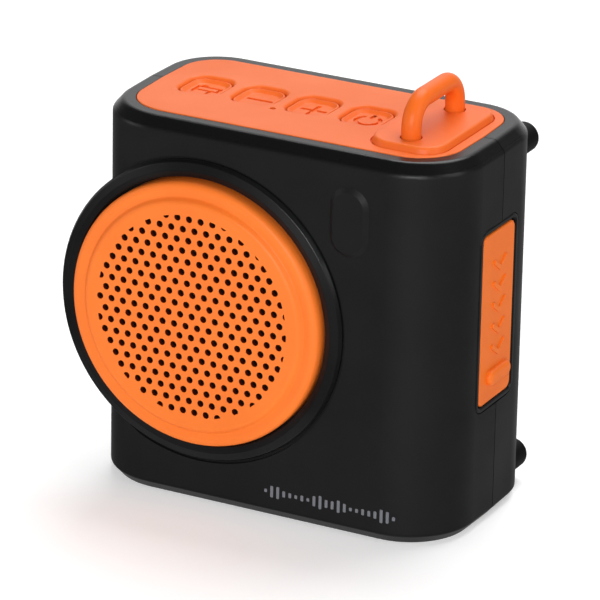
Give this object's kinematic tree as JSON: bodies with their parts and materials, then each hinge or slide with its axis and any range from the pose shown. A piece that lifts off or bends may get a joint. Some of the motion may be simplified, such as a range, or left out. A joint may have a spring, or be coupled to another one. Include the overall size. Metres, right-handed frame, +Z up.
{
  "type": "portable bluetooth speaker",
  "caption": "Small rounded box speaker with a round front grille, soft top panel with sprung keys, a carry loop and a hinged cover over side ports.",
  "frame": {"origin": "centre of the flat base of the case, on the surface the speaker stands on", "axes": "+Z up; +X to the right as seen from the front; +Y to the back, so the grille faces -Y"},
  "size_m": [0.0862, 0.048, 0.0889],
  "materials": {
    "front_shell": "fine moulded grain",
    "rear_shell": "fine moulded grain",
    "grille_disc": "satin orange paint",
    "grille_cloth": "woven",
    "bezel_ring": "satin",
    "driver_basket": "satin",
    "driver_gasket": "foam",
    "driver_screws": "zinc plated",
    "driver_top_plate": "zinc plated",
    "driver_magnet": "sintered ferrite",
    "driver_yoke": "zinc plated",
    "driver_cone": null,
    "dust_cap": "satin",
    "voice_coil": null,
    "driver_surround": "satin",
    "driver_spider": "impregnated cotton",
    "top_deck": "satin",
    "top_panel": "matte orange silicone",
    "carry_loop": "matte orange silicone",
    "loop_plate": "zinc plated",
    "loop_screws": "zinc plated",
    "tact_switches": "satin",
    "button_board": "solder mask",
    "button_board_screws": "zinc plated",
    "microphone": "satin",
    "microphone_boot": "matte",
    "port_frame": "satin",
    "port_cover": "matte orange silicone",
    "port_cover_pin": "ground",
    "main_board": "solder mask",
    "main_board_screws": "zinc plated",
    "usb_port": "nickel plated",
    "card_slot": "nickel plated",
    "aux_jack": "satin",
    "bluetooth_module": "tinned",
    "amplifier_chip": "matte",
    "capacitors": "satin",
    "battery_cell": "laminated pouch",
    "battery_foam": "foam",
    "battery_leads": "insulated wire",
    "speaker_leads": "insulated wire",
    "case_screws": "black oxide",
    "rear_feet": "matte",
    "key_mode": "matte orange silicone",
    "plunger_mode": "satin",
    "key_minus": "matte orange silicone",
    "plunger_minus": "satin",
    "key_plus": "matte orange silicone",
    "plunger_plus": "satin",
    "key_power": "matte orange silicone",
    "plunger_power": "satin"
  },
  "bodies": {
    "case": {"front_shell": "front_shell", "rear_shell": "rear_shell", "grille_disc": "grille_disc", "grille_cloth": "grille_cloth", "bezel_ring": "bezel_ring", "driver_basket": "driver_basket", "driver_gasket": "driver_gasket", "driver_screws": "driver_screws", "driver_top_plate": "driver_top_plate", "driver_magnet": "driver_magnet", "driver_yoke": "driver_yoke", "driver_surround": "driver_surround", "driver_spider": "driver_spider", "top_deck": "top_deck", "top_panel": "top_panel", "carry_loop": "carry_loop", "loop_plate": "loop_plate", "loop_screws": "loop_screws", "tact_switches": "tact_switches", "button_board": "button_board", "button_board_screws": "button_board_screws", "microphone": "microphone", "microphone_boot": "microphone_boot", "port_frame": "port_frame", "port_cover_pin": "port_cover_pin", "main_board": "main_board", "main_board_screws": "main_board_screws", "usb_port": "usb_port", "card_slot": "card_slot", "aux_jack": "aux_jack", "bluetooth_module": "bluetooth_module", "amplifier_chip": "amplifier_chip", "capacitors": "capacitors", "battery_cell": "battery_cell", "battery_foam": "battery_foam", "battery_leads": "battery_leads", "speaker_leads": "speaker_leads", "case_screws": "case_screws", "rear_feet": "rear_feet"},
    "key_mode": {"key_mode": "key_mode", "plunger_mode": "plunger_mode"},
    "key_minus": {"key_minus": "key_minus", "plunger_minus": "plunger_minus"},
    "key_plus": {"key_plus": "key_plus", "plunger_plus": "plunger_plus"},
    "key_power": {"key_power": "key_power", "plunger_power": "plunger_power"},
    "port_cover": {"port_cover": "port_cover"},
    "cone": {"driver_cone": "driver_cone", "dust_cap": "dust_cap", "voice_coil": "voice_coil"}
  },
  "joints": [
    {"name": "mode_press", "type": "slide", "parent": "case", "child": "key_mode", "axis": [0, 0, -1], "range_m": [0, 0.0005], "stiffness_N_per_m": 600},
    {"name": "minus_press", "type": "slide", "parent": "case", "child": "key_minus", "axis": [0, 0, -1], "range_m": [0, 0.0005], "stiffness_N_per_m": 600},
    {"name": "plus_press", "type": "slide", "parent": "case", "child": "key_plus", "axis": [0, 0, -1], "range_m": [0, 0.0005], "stiffness_N_per_m": 600},
    {"name": "power_press", "type": "slide", "parent": "case", "child": "key_power", "axis": [0, 0, -1], "range_m": [0, 0.0005], "stiffness_N_per_m": 600},
    {"name": "port_cover_hinge", "type": "hinge", "parent": "case", "child": "port_cover", "pos_m": [0.03895, 0.00043, 0.06005], "axis": [0, -1, 0], "range_deg": [0, 100]},
    {"name": "cone_travel", "type": "slide", "parent": "case", "child": "cone", "axis": [0, -1, 0], "range_m": [-0.0004, 0.0004], "stiffness_N_per_m": 1500, "deforming": ["driver_surround", "driver_spider"]}
  ]
}
